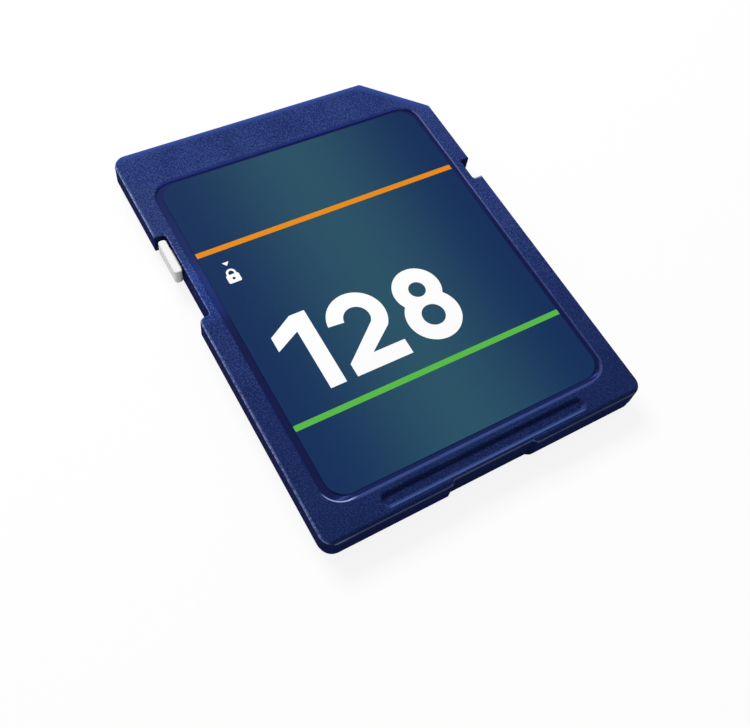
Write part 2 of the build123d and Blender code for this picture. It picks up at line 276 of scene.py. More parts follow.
plating = new_finish("contact_gold", {"Metallic": 1.0})
place = spot(plating)
wipe_stretch = put(
    plating,
    "ShaderNodeVectorMath",
    {0: place, 1: (1 / wipe_width, 1 / wipe_length, 1.0)},
    operation="MULTIPLY",
)
wipes = mottle(plating, wipe_stretch.outputs["Vector"], 1.0, fine_detail)
from_pad_side = calc(plating, "PINGPONG", share_of_box(plating)["X"], 0.5)
wiped = calc(
    plating, "MULTIPLY", fade(plating, wipes, *wipe_shows), fade(plating, from_pad_side, *wiped_track)
)
tarnish = fade(plating, mottle(plating, place, tarnish_size), *tarnish_shows)
pad_colour = over(plating, tarnish, gold, gold_tarnish)
to_shader(plating, "Base Color", over(plating, wiped, pad_colour, gold_wiped))
to_shader(plating, "Roughness", fade(plating, wipes, *gold_roughness))
relief(plating, wipes, wipe_depth)
dress([f"contact_{number + 1}" for number in range(pad_count)], plating)

# Flash chip and controller chip: black epoxy resin moulded round the silicon.
# The mould leaves a fine matt grain, and a round dimple marks the first pin's corner.
resin_gloss = 0.4
resin_roughness = 0.66
resin_grain_size = 0.08
resin_grain_depth = 0.008
resin_black = (0.0105, 0.0105, 0.0120)
resin_pale = (0.028, 0.028, 0.031)
resin_shades = ((0.35, resin_black), (0.80, resin_pale))
pin_mark_place = (0.08, 0.92)
pin_mark_edge = (0.035, 0.028)
pin_mark_depth = 3.0
pin_mark_roughness = 0.40

resin = new_finish("chip_resin", {"Specular IOR Level": resin_gloss})
resin_grain = mottle(resin, spot(resin), resin_grain_size, fine_detail)
chip_place = share_of_box(resin)
mark_x = calc(resin, "SUBTRACT", chip_place["X"], pin_mark_place[0])
mark_y = calc(resin, "SUBTRACT", chip_place["Y"], pin_mark_place[1])
mark_square = calc(resin, "ADD", calc(resin, "POWER", mark_x, 2), calc(resin, "POWER", mark_y, 2))
pin_mark = fade(resin, calc(resin, "SQRT", mark_square), *pin_mark_edge)
pin_dimple = calc(resin, "MULTIPLY", pin_mark, pin_mark_depth)
to_shader(resin, "Base Color", shades(resin, resin_grain, *resin_shades))
to_shader(resin, "Roughness", fade(resin, pin_mark, 0.0, 1.0, resin_roughness, pin_mark_roughness))
relief(resin, calc(resin, "SUBTRACT", resin_grain, pin_dimple), resin_grain_depth)
dress(["flash_chip", "controller_chip"], resin)

# Flash chip leads: bent strips of a copper alloy frame, plated with dull tin.
# Each foot is soldered to its land on the board.
tin = (0.58, 0.58, 0.56)
tin_dull = (0.38, 0.38, 0.37)
tin_shades = ((0.35, tin_dull), (0.65, tin))
tin_roughness = (0.3, 0.7, 0.30, 0.48)
tin_grain_size = 0.06
tin_grain_depth = 0.003
tin_patch_size = 0.5

tin_plate = new_finish("lead_tin", {"Metallic": 1.0})
place = spot(tin_plate)
tin_grain = mottle(tin_plate, place, tin_grain_size, fine_detail)
tin_patches = mottle(tin_plate, place, tin_patch_size)
tin_wear = calc(tin_plate, "MULTIPLY", calc(tin_plate, "ADD", tin_grain, tin_patches), 0.5)
to_shader(tin_plate, "Base Color", shades(tin_plate, tin_wear, *tin_shades))
to_shader(tin_plate, "Roughness", fade(tin_plate, tin_grain, *tin_roughness))
relief(tin_plate, tin_grain, tin_grain_depth)
dress(["flash_leads_left", "flash_leads_right"], tin_plate)

# Chip capacitors: small blocks of fired ceramic with dipped and tinned ends.
# Each is soldered down by its two ends.
capacitor_count = 4
ceramic_tan = (0.38, 0.25, 0.14)
ceramic_dark = (0.27, 0.17, 0.09)
ceramic_shades = ((0.35, ceramic_dark), (0.65, ceramic_tan))
ceramic_roughness = 0.45
block_gloss = 0.5
block_speckle_size = 0.05
block_depth = 0.004
end_edge = (0.28, 0.26)
end_wander = 0.06
end_wander_size = 0.12
end_shades = ((0.3, tin_dull), (0.7, tin))
end_roughness = 0.36


def chip_block(name, body_colour, body_roughness):
    """A chip part's finish: a body, coloured by a function, between two tinned ends."""
    block = new_finish(name, {"Specular IOR Level": block_gloss})
    place = spot(block)
    end_reach = calc(block, "PINGPONG", share_of_box(block)["X"], 0.5)
    wander = calc(block, "MULTIPLY", mottle(block, place, end_wander_size), end_wander)
    tinned = fade(block, calc(block, "ADD", end_reach, wander), *end_edge)
    speckle = mottle(block, place, block_speckle_size, fine_detail)
    ends = shades(block, speckle, *end_shades)
    to_shader(block, "Base Color", over(block, tinned, body_colour(block, speckle), ends))
    to_shader(block, "Metallic", tinned)
    to_shader(block, "Roughness", fade(block, tinned, 0.0, 1.0, body_roughness, end_roughness))
    relief(block, calc(block, "ADD", speckle, tinned), block_depth)
    return block


def fired_ceramic(block, speckle):
    """The capacitor's body, brown and lightly speckled."""
    return shades(block, speckle, *ceramic_shades)


capacitor_finish = chip_block("capacitor_ceramic", fired_ceramic, ceramic_roughness)
dress([f"capacitor_{number + 1}" for number in range(capacitor_count)], capacitor_finish)

# Chip resistors: white ceramic chips with a black glass coat on top and tinned ends.
# Each is soldered down by its two ends.
resistor_count = 4
alumina_white = (0.70, 0.69, 0.66)
glass_black = (0.016, 0.016, 0.019)
glass_shades = ((0.3, glass_black), (0.9, resin_pale))
glass_edge = (0.72, 0.80)
glass_roughness = 0.25


def coated_ceramic(block, speckle):
    """The resistor's body, white below and coated black on top."""
    coat = fade(block, share_of_box(block)["Z"], *glass_edge)
    return over(block, coat, alumina_white, shades(block, speckle, *glass_shades))


resistor_finish = chip_block("resistor_ceramic", coated_ceramic, glass_roughness)
dress([f"resistor_{number + 1}" for number in range(resistor_count)], resistor_finish)

# Lock slider: a small knob moulded in white plastic, with a neck and an inner flange.
# It runs in the slot of the left wall and is caught between the two covers. Its sides are painted
# greyer than its top, as painted shade.
knob_gloss = 0.30
knob_roughness = (0.3, 0.7, 0.42, 0.55)
knob_white = (0.7928, 0.7928, 0.7928)
knob_shade = (0.7658, 0.7658, 0.7658)
knob_shaded_side = (0.7117, 0.7117, 0.7117)
knob_shades = ((0.30, knob_shade), (0.60, knob_white))
knob_lit_top_tilt = (0.35, 0.80)
knob_flow_size = 0.9
knob_grain_size = 0.07

white_plastic = new_finish("slider_plastic", {"Specular IOR Level": knob_gloss})
place = spot(white_plastic)
knob_flow = mottle(white_plastic, place, knob_flow_size)
knob_grain = mottle(white_plastic, place, knob_grain_size, fine_detail)
knob_lit_top = fade(white_plastic, facing_of(white_plastic)["Z"], *knob_lit_top_tilt)
knob_colour = shades(white_plastic, knob_flow, *knob_shades)
# The sides take a greyer white than the top: painted shade.
to_shader(white_plastic, "Base Color", over(white_plastic, knob_lit_top, knob_shaded_side, knob_colour))
to_shader(white_plastic, "Roughness", fade(white_plastic, knob_grain, *knob_roughness))
dress(["lock_slider"], white_plastic)

# Front cover: the label-side half of the case, moulded in the same plastic and welded to the rear
# cover. Its land is grained and its label recess is smooth. Sockets rub the rails paler. The contact
# end, cut corner, left edge and recess rims carry painted highlights, palest on the left edge and the
# recess's near corners, and the land, recess, groove and rear edge carry painted light and shade.
label_low, label_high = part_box("front_label")
card_left = cad_low.x / mm
card_right = cad_high.x / mm
card_rear = cad_low.y / mm
card_contact_end = cad_high.y / mm
land_height = cad_high.z / mm
recess_height = label_low.z / mm

front_plastic, place, facing, colour = case_plastic("front_cover_plastic")
tilt = facing["Z"]

# Places on the cover are measured from its edges. Near is towards the rear edge, far the contact end.
cover_xyz = split(front_plastic, place)
from_middle = calc(front_plastic, "ABSOLUTE", cover_xyz["X"])
from_left = calc(front_plastic, "SUBTRACT", cover_xyz["X"], card_left)
from_right = calc(front_plastic, "SUBTRACT", card_right, cover_xyz["X"])
from_rear = calc(front_plastic, "SUBTRACT", cover_xyz["Y"], card_rear)
from_contact_end = calc(front_plastic, "SUBTRACT", card_contact_end, cover_xyz["Y"])
below_land = calc(front_plastic, "SUBTRACT", land_height, cover_xyz["Z"])
above_recess = calc(front_plastic, "SUBTRACT", cover_xyz["Z"], recess_height)


def both(first, *others):
    """The part of the front cover that lies in all the given masks."""
    for other in others:
        first = calc(front_plastic, "MULTIPLY", first, other)
    return first


def either(first, *others):
    """The part of the front cover that lies in any of the given masks."""
    for other in others:
        first = calc(front_plastic, "MAXIMUM", first, other)
    return first


def cover_fade(value, steps):
    """A share that goes smoothly over the front cover; its steps are start, end, low and high."""
    return fade(front_plastic, value, *steps)


def cover_band(value, edges):
    """A mask on the front cover: rises between the first two edges, falls between the last two."""
    rise = fade(front_plastic, value, *edges[:2])
    return both(rise, fade(front_plastic, value, *edges[2:])) if edges[2:] else rise


# The label recess's walls are painted paler, as painted light against their shade. Its floor is
# painted lighter towards the contact end and at its rear end, as painted light, and in a line past
# the film's rear edge, as painted light against the film's shadow.
recess_wall_painted_light = (0.0297, 0.0505, 0.2973)
recess_far_painted_light = (0.0135, 0.0261, 0.1153)
recess_near_blue = (0.0076, 0.0119, 0.0667)
recess_rear_painted_light = (0.0115, 0.0200, 0.1027)
label_shadow_painted_light = (0.0333, 0.0649, 0.2613)
recess_sides = (10.86, 10.80)
recess_ends = (1.70, 1.80, 28.96, 28.90)
recess_wall_tilt = (-0.30, -0.20, 0.55, 0.35)
recess_wall_right = (2.8, 1.8, 1.0, 0.25)
recess_floor_heights = (-0.03, -0.01, 0.02, 0.01)
far_floor_start = (14.5, 20.5)
far_floor_right = (7.0, 17.0, 1.0, 0.40)
far_floor_end = (23.0, 28.0, 1.0, 0.65)
near_floor_start = (2.8, 2.5)
label_shadow_line = (2.50, 2.45, 2.28, 2.37)

within_recess = both(cover_band(from_middle, recess_sides), cover_band(from_rear, recess_ends))
recess_wall = both(
    within_recess,
    cover_band(tilt, recess_wall_tilt),
    cover_fade(from_right, recess_wall_right),
)
recess_floor = both(within_recess, cover_band(above_recess, recess_floor_heights))
far_floor_painted_light = both(
    cover_band(from_rear, far_floor_start),
    cover_fade(from_left, far_floor_right),
    cover_fade(from_rear, far_floor_end),
)
rear_floor_painted_light = cover_band(from_rear, near_floor_start)
label_shadow_fill = cover_band(from_rear, label_shadow_line)
# Painted light on the floor: lighter towards the contact end, at the rear end and past the film.
floor_colour = over(front_plastic, far_floor_painted_light, recess_near_blue, recess_far_painted_light)
floor_colour = over(front_plastic, rear_floor_painted_light, floor_colour, recess_rear_painted_light)
floor_colour = over(front_plastic, label_shadow_fill, floor_colour, label_shadow_painted_light)
# The recess walls are painted paler: painted light against their shade.
colour = over(front_plastic, recess_wall, colour, recess_wall_painted_light)
colour = over(front_plastic, recess_floor, colour, floor_colour)

# The land is worn smoother towards the rear, and rubbed by the socket's guides. Its colour is painted
# darker towards the rear and lighter towards the contact end, as painted shade and light, and the
# contact end and cut corner carry a painted highlight.
socket_rub = (0.0541, 0.0766, 0.1532)
contact_end_highlight_blue = (0.0275, 0.0595, 0.2595)
upward_tilt = (0.5, 0.6)
near_land_shading = (0.0, 13.5, 0.73, 1.00)
far_land_shading = (13.5, 25.0, 0.90, 1.10)
land_end_shading = (28.2, 29.6, 1.0, 0.93)
grain_worn_off = (20.0, 3.0, 0.0, 0.40)
speck_size = 0.15
guide_rub_specks = (0.42, 0.60)
guide_rub_start = (18.0, 24.0, 0.0, 0.30)
guide_rub_end = (29.6, 28.4)
guide_rub_right = (2.0, 22.0, 1.0, 0.45)
contact_end_highlight_reach = (0.70, 0.15, 0.0, 0.9)
cut_corner_highlight_reach = (5.20, 4.45, 0.0, 0.9)

upward = cover_band(tilt, upward_tilt)
land = both(upward, calc(front_plastic, "SUBTRACT", 1.0, recess_floor))
land_painted_shading = both(
    fade(front_plastic, from_rear, *near_land_shading, course="LINEAR"),
    fade(front_plastic, from_rear, *far_land_shading, course="LINEAR"),
    cover_fade(from_rear, land_end_shading),
)
specks = mottle(front_plastic, place, speck_size)
guide_rub = both(
    land,
    cover_band(specks, guide_rub_specks),
    cover_fade(from_rear, guide_rub_start),
    cover_band(from_rear, guide_rub_end),
    cover_fade(from_left, guide_rub_right),
)
to_cut_corner = calc(front_plastic, "ADD", from_right, from_contact_end)
contact_end_highlight = either(
    cover_fade(from_contact_end, contact_end_highlight_reach),
    cover_fade(to_cut_corner, cut_corner_highlight_reach),
)
colour = over(front_plastic, both(land, cover_fade(from_rear, grain_worn_off)), colour, case_grain_mid)
# Painted shade and light along the land's length.
colour = over(front_plastic, land, colour, scaled(front_plastic, colour, land_painted_shading))
colour = over(front_plastic, guide_rub, colour, socket_rub)
# Painted highlight along the contact end and the cut corner.
colour = over(front_plastic, both(contact_end_highlight, upward), colour, contact_end_highlight_blue)

# The rims of the recess are rounded. The far rim and far wall of the recess are painted lighter, as
# painted light against their shade, the strip beside the slider is painted lighter and bluer, as
# painted light, and the near rim of the recess carries a painted highlight.
painted_highlight_pale = (0.0559, 0.0973, 0.2793)
window_strip_light_tint = (1.23, 1.37, 1.46)
rim_tilt = (0.10, 0.30, 0.95, 0.84)
rim_depth = (0.17, 0.13)
far_rim_start = (28.3, 28.6, 0.0, 0.65)
far_wall_start = (28.3, 28.5)
far_wall_light_gain = (0.50, 0.97, 1.9, 1.0)
window_strip_side = (2.05, 1.95)
window_strip_ends = (16.4, 17.4, 22.6, 20.4)
near_rim_line = (1.83, 1.94, 2.12, 2.06)
near_rim_sides = (9.6, 8.4, 0.0, 0.55)

rim = both(cover_band(tilt, rim_tilt), cover_band(below_land, rim_depth))
far_rim_painted_light = both(rim, cover_fade(from_rear, far_rim_start), within_recess)
far_wall_painted_light = both(
    within_recess,
    cover_band(from_rear, far_wall_start),
    calc(front_plastic, "SUBTRACT", 1.0, recess_floor),
)
window_strip_painted_light = both(
    cover_band(from_left, window_strip_side),
    cover_band(from_rear, window_strip_ends),
    upward,
)
near_rim_highlight = both(cover_band(from_rear, near_rim_line), cover_fade(from_middle, near_rim_sides), upward)
# Painted light on the far rim and far wall, against their shade.
colour = over(front_plastic, far_rim_painted_light, colour, recess_wall_painted_light)
far_wall_lightened = scaled(front_plastic, colour, cover_fade(tilt, far_wall_light_gain))
colour = over(front_plastic, far_wall_painted_light, colour, far_wall_lightened)
# Painted light on the strip beside the slider.
window_strip_lit = put(front_plastic, "ShaderNodeVectorMath", {0: colour, 1: window_strip_light_tint}, operation="MULTIPLY")
colour = over(front_plastic, window_strip_painted_light, colour, window_strip_lit.outputs["Vector"])
# Painted highlight along the recess's near rim.
colour = over(front_plastic, near_rim_highlight, colour, painted_highlight_pale)

# The left edge and the recess's right rim and near corners carry a pale painted highlight, in specks.
rim_highlight_pale = (0.2973, 0.3559, 0.6396)
left_edge_outer = (0.5, 0.4, 0.62, 1.0)
left_edge_inner = (1.1, 1.0)
left_edge_facing = (-0.05, -0.35)
left_edge_length = (1.0, 30.0, 0.46, 0.85)
left_edge_tilt = (0.35, 0.60)
left_edge_end = (0.1, 0.7, 0.8, 1.0)
left_land_side = (0.20, 0.10, 0.0, 0.30)
left_land_end = (0.3, 0.7)
left_highlight_specks = (0.38, 0.60, 0.30, 1.15)
right_rim_side = (1.60, 1.45)
right_rim_length = (12.0, 23.0, 0.10, 0.30)
right_rim_tilt = (0.50, 0.72, 0.97, 0.90)
near_corner_ends = (3.3, 2.7, 1.7, 1.8)
near_corner_sides = (8.6, 9.3, 11.0, 10.9)
near_corner_right = (4.0, 20.0, 1.0, 0.11)
near_corner_tilt = (0.10, 0.30, 0.99, 0.95)
highlight_patch_size = 1.2
highlight_patch_share = (0.25, 0.65, 0.75, 1.0)

left_edge_highlight = both(
    cover_fade(from_left, left_edge_outer),
    cover_band(from_left, left_edge_inner),
    cover_band(facing["X"], left_edge_facing),
    cover_fade(from_rear, left_edge_length),
    cover_band(tilt, left_edge_tilt),
    cover_fade(from_rear, left_edge_end),
    rim,
)
left_land_highlight = both(upward, cover_fade(from_left, left_land_side), cover_band(from_rear, left_land_end))
left_highlight = both(either(left_edge_highlight, left_land_highlight), cover_fade(specks, left_highlight_specks))
right_rim_highlight = both(
    within_recess,
    cover_band(from_right, right_rim_side),
    cover_fade(from_rear, right_rim_length),
    cover_band(tilt, right_rim_tilt),
)
near_corner_highlights = both(
    cover_band(from_rear, near_corner_ends),
    cover_band(from_middle, near_corner_sides),
    cover_fade(from_left, near_corner_right),
    cover_band(tilt, near_corner_tilt),
)
highlight_patches = cover_fade(mottle(front_plastic, place, highlight_patch_size), highlight_patch_share)
rim_highlights = both(either(left_highlight, right_rim_highlight, near_corner_highlights), highlight_patches)
# Painted highlight on the left edge, the right rim and the near corners.
colour = over(front_plastic, rim_highlights, colour, rim_highlight_pale)

# The finger groove is painted darker with depth and dark on its front slope, as painted shade, and
# its rear slope and rear rim carry a painted highlight.
groove_front_painted_shade = (0.0054, 0.0108, 0.0495)
groove_ends = (8.0, 7.9)
groove_sides = (0.40, 0.44, 1.74, 1.70)
groove_dimming = (0.10, 0.22, 1.0, 0.92)
groove_line_sides = (0.46, 0.53, 0.65, 0.58)
groove_line_ends = (7.6, 7.2, 0.0, 0.90)
groove_rear_facing = (0.05, 0.50, 0.0, 0.25)
groove_front_facing = (-0.20, -0.80, 0.0, 0.60)

groove = both(cover_band(from_rear, groove_sides), cover_band(from_middle, groove_ends))
groove_shade = both(groove, cover_fade(below_land, groove_dimming))
groove_highlight_line = both(
    cover_band(from_rear, groove_line_sides),
    cover_fade(from_middle, groove_line_ends),
)
groove_rear_highlight = either(both(groove, cover_fade(facing["Y"], groove_rear_facing)), groove_highlight_line)
groove_front_shade = both(groove, cover_fade(facing["Y"], groove_front_facing))
# Painted shade in the groove, a painted highlight on its rear side, painted shade on its front slope.
colour = over(front_plastic, groove, colour, scaled(front_plastic, colour, groove_shade))
colour = over(front_plastic, groove_rear_highlight, colour, painted_highlight_pale)
colour = over(front_plastic, groove_front_shade, colour, groove_front_painted_shade)

# A strip of painted shade and a line of painted highlight follow the rear edge and its grip notch.
# The latch notch's edge carries a painted highlight too.
edge_painted_shade = (0.0045, 0.0077, 0.0342)
grip_sides = (3.2, 3.0)
grip_depth = 0.13
edge_strip_side = (0.34, 0.22, 0.0, 0.55)
edge_strip_tilt = (0.6, 0.7)
rear_edge_side = (0.10, 0.05)
rear_edge_tilt = (0.4, 0.5)
rear_edge_left = (2.2, 1.0, 1.0, 2.0)
grip_edge_depth = (0.42, 0.38)
grip_edge_tilt = (0.15, 0.35, 0.92, 0.85)
grip_edge_sides = (3.4, 3.3)
thin_highlight_share = 0.22
latch_edge_side = (0.8, 0.7)
latch_edge_ends = (20.07, 20.16, 20.45, 20.35)
latch_edge_tilt = (0.2, 0.4, 0.0, 0.8)

grip_set_back = calc(front_plastic, "MULTIPLY", cover_band(from_middle, grip_sides), grip_depth)
from_edge = calc(front_plastic, "SUBTRACT", from_rear, grip_set_back)
edge_shade_strip = both(cover_fade(from_edge, edge_strip_side), cover_band(tilt, edge_strip_tilt))
rear_edge_highlight = both(
    cover_band(from_rear, rear_edge_side),
    cover_band(tilt, rear_edge_tilt),
    cover_fade(from_left, rear_edge_left),
)
grip_edge_highlight = both(
    cover_band(from_rear, grip_edge_depth),
    cover_band(tilt, grip_edge_tilt),
    cover_band(from_middle, grip_edge_sides),
)
thin_edge_highlight = both(either(rear_edge_highlight, grip_edge_highlight), highlight_patches, thin_highlight_share)
latch_edge_highlight = both(
    cover_band(from_right, latch_edge_side),
    cover_band(from_rear, latch_edge_ends),
    cover_fade(tilt, latch_edge_tilt),
)
# Painted shade along the rear edge, then painted highlights on the rear, grip and latch edges.
colour = over(front_plastic, edge_shade_strip, colour, edge_painted_shade)
colour = over(front_plastic, thin_edge_highlight, colour, rim_highlight_pale)
colour = over(front_plastic, latch_edge_highlight, colour, rim_highlight_pale)
to_shader(front_plastic, "Base Color", colour)
dress(["front_cover"], front_plastic)

# Front label: printed plastic film, stuck down on the floor of the recess.
# The print shades from teal along the middle to dark blue at both long sides. Its colour is
# painted lighter towards the rear and darker towards the contact end, as painted light against the
# lamp's fall-off, and the film's cut edge is painted paler, as painted light against its shade.
film_gloss = 0.02
film_roughness = (0.2, 0.8, 0.46, 0.56)
film_ripple_size = 0.35
film_ripple_depth = 0.002
film_edge_painted_light = (0.0270, 0.0541, 0.2072)
film_edge_tilt = (0.6, 0.3)
label_middle = (0.0232, 0.0811, 0.1275)
label_side = (0.0080, 0.0295, 0.1000)
label_shades = ((0.0, label_middle), (0.98, label_side))
label_half_width = (label_high.x - label_low.x) / 2 / mm
label_light_evening = (label_low.y / mm, label_high.y / mm, 1.08, 0.93)
print_grain_size = 0.12
print_wander = (0.2, 0.8, -0.035, 0.035)

film = new_finish("label_film", {"Specular IOR Level": film_gloss})
place = spot(film)
film_xyz = split(film, place)
film_reach = calc(film, "DIVIDE", calc(film, "ABSOLUTE", film_xyz["X"]), label_half_width)
print_grain = mottle(film, place, print_grain_size, fine_detail)
film_shading = calc(film, "ADD", film_reach, fade(film, print_grain, *print_wander))
film_colour = shades(film, film_shading, *label_shades, easing="EASE")
# Painted light: lighter towards the rear, darker towards the contact end.
film_light_evening = fade(film, film_xyz["Y"], *label_light_evening, course="LINEAR")
# The cut edge is painted paler: painted light against its shade.
film_cut_edge_light = fade(film, facing_of(film)["Z"], *film_edge_tilt)
film_colour = over(film, film_cut_edge_light, scaled(film, film_colour, film_light_evening), film_edge_painted_light)
to_shader(film, "Base Color", film_colour)
to_shader(film, "Roughness", fade(film, print_grain, *film_roughness))
relief(film, mottle(film, place, film_ripple_size), film_ripple_depth)
dress(["front_label"], film)

# Printed stripes: two lines of opaque ink across the film, orange above and green below.
# Each is a raised layer of screen print that runs out to the film's edges.
ink_thickness = 0.006 * mm
ink_base = label_high.z
ink_gloss = 0.03
ink_roughness = (0.2, 0.8, 0.45, 0.58)
ink_patch_size = 0.10
ink_patch_depth = 0.0015
ink_thin_stop = 0.28
ink_full_stop = 0.50
stripe_end_gap = 0.02
stripe_left = label_low.x / mm + stripe_end_gap
stripe_right = label_high.x / mm - stripe_end_gap
stripe_width = 0.42
stripe_corner = 0.03
orange_stripe_y = 5.95
green_stripe_y = -8.34
orange_ink_colour = (0.7459, 0.2523, 0.0095)
green_ink_colour = (0.1036, 0.4865, 0.0676)
coloured_thin_share = 0.86


def ink(name, colour, thin_share):
    """Opaque screen ink, a little thinner and darker in fine patches."""
    layer = new_finish(name, {"Specular IOR Level": ink_gloss})
    patches = mottle(layer, spot(layer), ink_patch_size, fine_detail)
    thin_colour = tuple(channel * thin_share for channel in colour)
    ink_shades = ((ink_thin_stop, thin_colour), (ink_full_stop, colour))
    to_shader(layer, "Base Color", shades(layer, patches, *ink_shades))
    to_shader(layer, "Roughness", fade(layer, patches, *ink_roughness))
    relief(layer, patches, ink_patch_depth)
    return layer


def print_shape(name, finish, *loops):
    """A flat printed shape of outlines in millimetres; inner outlines are left bare."""
    outline = bpy.data.curves.new(name, "CURVE")
    outline.dimensions = "2D"
    outline.fill_mode = "BOTH"
    outline.extrude = ink_thickness / 2
    for loop in loops:
        spline = outline.splines.new("POLY")
        spline.points.add(len(loop) - 1)
        for point, (x, y) in zip(spline.points, loop):
            point.co = (x * mm, y * mm, 0, 1)
        spline.use_cyclic_u = True
    drawn = bpy.data.objects.new(f"{name}_outline", outline)
    bpy.context.scene.collection.objects.link(drawn)
    bpy.context.view_layer.update()
    mesh = bpy.data.meshes.new_from_object(drawn)
    bpy.data.objects.remove(drawn)
    bpy.data.curves.remove(outline)
    mesh.name = name
    mesh.materials.clear()
    mesh.materials.append(finish)
    shape = bpy.data.objects.new(name, mesh)
    shape.location.z = ink_base + ink_thickness / 2
    bpy.context.scene.collection.objects.link(shape)
    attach(shape, "card")


def arc(centre, radius, start, end, steps):
    """Points along a round stretch, from one angle to another in degrees."""
    turns = [radians(start + (end - start) * step / steps) for step in range(steps + 1)]
    return [(centre[0] + radius * cos(turn), centre[1] + radius * sin(turn)) for turn in turns]


def rounded_box(left, right, bottom, top, radius):
    """A rectangle with rounded corners, anticlockwise from the lower right one."""
    corner_steps = 6
    return [
        *arc((right - radius, bottom + radius), radius, -90, 0, corner_steps),
        *arc((right - radius, top - radius), radius, 0, 90, corner_steps),
        *arc((left + radius, top - radius), radius, 90, 180, corner_steps),
        *arc((left + radius, bottom + radius), radius, 180, 270, corner_steps),
    ]


def stripe(name, finish, y):
    """A stripe of ink across the film, with its middle line at y."""
    bottom = y - stripe_width / 2
    top = y + stripe_width / 2
    print_shape(name, finish, rounded_box(stripe_left, stripe_right, bottom, top, stripe_corner))


orange_ink = ink("orange_ink", orange_ink_colour, coloured_thin_share)
green_ink = ink("green_ink", green_ink_colour, coloured_thin_share)
stripe("orange_stripe", orange_ink, orange_stripe_y)
stripe("green_stripe", green_ink, green_stripe_y)

# Lock mark: a plain padlock and a small arrow in white ink, beside the slider.
# The arrow shows which way the slider is pushed to lock the card.
white_ink_colour = (0.97, 0.97, 0.97)
white_thin_share = 0.98
padlock_x = -8.55
padlock_bottom = 3.02
padlock_half_width = 0.45
padlock_height = 0.68
padlock_corner = 0.10
shackle_radius = 0.34
shackle_wire = 0.15
shackle_leg = 0.12
shackle_steps = 24
keyhole_radius = 0.11
keyhole_steps = 24
arrow_half_width = 0.24
arrow_top = 4.76
arrow_tip = 4.46


def ring(centre, radius, steps):
    """Points round a full circle."""
    return arc(centre, radius, 0, 360, steps)[:-1]


white_ink = ink("white_ink", white_ink_colour, white_thin_share)
padlock_left = padlock_x - padlock_half_width
padlock_right = padlock_x + padlock_half_width
padlock_top = padlock_bottom + padlock_height
padlock_body = rounded_box(padlock_left, padlock_right, padlock_bottom, padlock_top, padlock_corner)
right_half = len(padlock_body) // 2
shackle_middle = (padlock_x, padlock_top + shackle_leg)
padlock_outline = [
    *padlock_body[:right_half],
    (padlock_x + shackle_radius, padlock_top),
    *arc(shackle_middle, shackle_radius, 0, 180, shackle_steps),
    (padlock_x - shackle_radius, padlock_top),
    *padlock_body[right_half:],
]
shackle_inside = [
    (padlock_x - shackle_radius + shackle_wire, padlock_top),
    (padlock_x + shackle_radius - shackle_wire, padlock_top),
    *arc(shackle_middle, shackle_radius - shackle_wire, 0, 180, shackle_steps),
]
keyhole = ring((padlock_x, padlock_bottom + padlock_height / 2), keyhole_radius, keyhole_steps)
print_shape("padlock_mark", white_ink, padlock_outline, shackle_inside, keyhole)
print_shape(
    "lock_arrow",
    white_ink,
    [
        (padlock_x - arrow_half_width, arrow_top),
        (padlock_x, arrow_tip),
        (padlock_x + arrow_half_width, arrow_top),
    ],
)

# Number: three plain bold figures in white ink, the one large print on the film.
# Each figure is one closed outline with round turns and an even stroke.
figure_bottom = -6.80
figure_height = 5.96
figure_top = figure_bottom + figure_height
stroke = 1.15
figure_gap = 0.80
figures_left = -8.45

one_flag_reach = 1.75
one_flag_top = 1.05
one_flag_bottom = 2.20
one_flag_root = 1.30
one_head_width = 0.95 * stroke
one_left = figures_left
one_right = one_left + one_flag_reach + stroke
print_shape(
    "figure_one",
    white_ink,
    [
        (one_right, figure_bottom),
        (one_right, figure_top),
        (one_right - one_head_width, figure_top),
        (one_left, figure_top - one_flag_top),
        (one_left, figure_top - one_flag_bottom),
        (one_right - stroke, figure_top - one_flag_root),
        (one_right - stroke, figure_bottom),
    ],
)

two_radius = 2.08
two_turn_start = 175
two_turn_end = -38
two_outer_steps = 36
two_inner_steps = 30
two_foot_corner = 1.55 * stroke
two_heel_drop = 0.15
two_left = one_right + figure_gap
two_right = two_left + 2 * two_radius
two_middle = (two_left + two_radius, figure_top - two_radius)
two_foot = figure_bottom + stroke
print_shape(
    "figure_two",
    white_ink,
    [
        (two_left, figure_bottom),
        (two_right, figure_bottom),
        (two_right, two_foot),
        (two_left + two_foot_corner, two_foot),
        *arc(two_middle, two_radius, two_turn_end, two_turn_start, two_outer_steps),
        *arc(two_middle, two_radius - stroke, two_turn_start, two_turn_end, two_inner_steps),
        (two_left, two_foot - two_heel_drop),
    ],
)

# The eight is two rings; its outline changes from one to the other where they cross.
eight_upper_radius = 1.76
eight_lower_radius = 1.98
eight_steps = 48
eight_x = two_right + figure_gap + eight_lower_radius
upper_middle = (eight_x, figure_top - eight_upper_radius)
lower_middle = (eight_x, figure_bottom + eight_lower_radius)
ring_gap = upper_middle[1] - lower_middle[1]
crossing = (ring_gap ** 2 + eight_lower_radius ** 2 - eight_upper_radius ** 2) / (2 * ring_gap)
lower_turn = 90 - degrees(acos(crossing / eight_lower_radius))
upper_turn = 90 - degrees(acos((ring_gap - crossing) / eight_upper_radius))
print_shape(
    "figure_eight",
    white_ink,
    [
        *arc(upper_middle, eight_upper_radius, -upper_turn, 180 + upper_turn, eight_steps),
        *arc(lower_middle, eight_lower_radius, 180 - lower_turn, 360 + lower_turn, eight_steps)[1:-1],
    ],
    ring(upper_middle, eight_upper_radius - stroke, eight_steps),
    ring(lower_middle, eight_lower_radius - stroke, eight_steps),
)

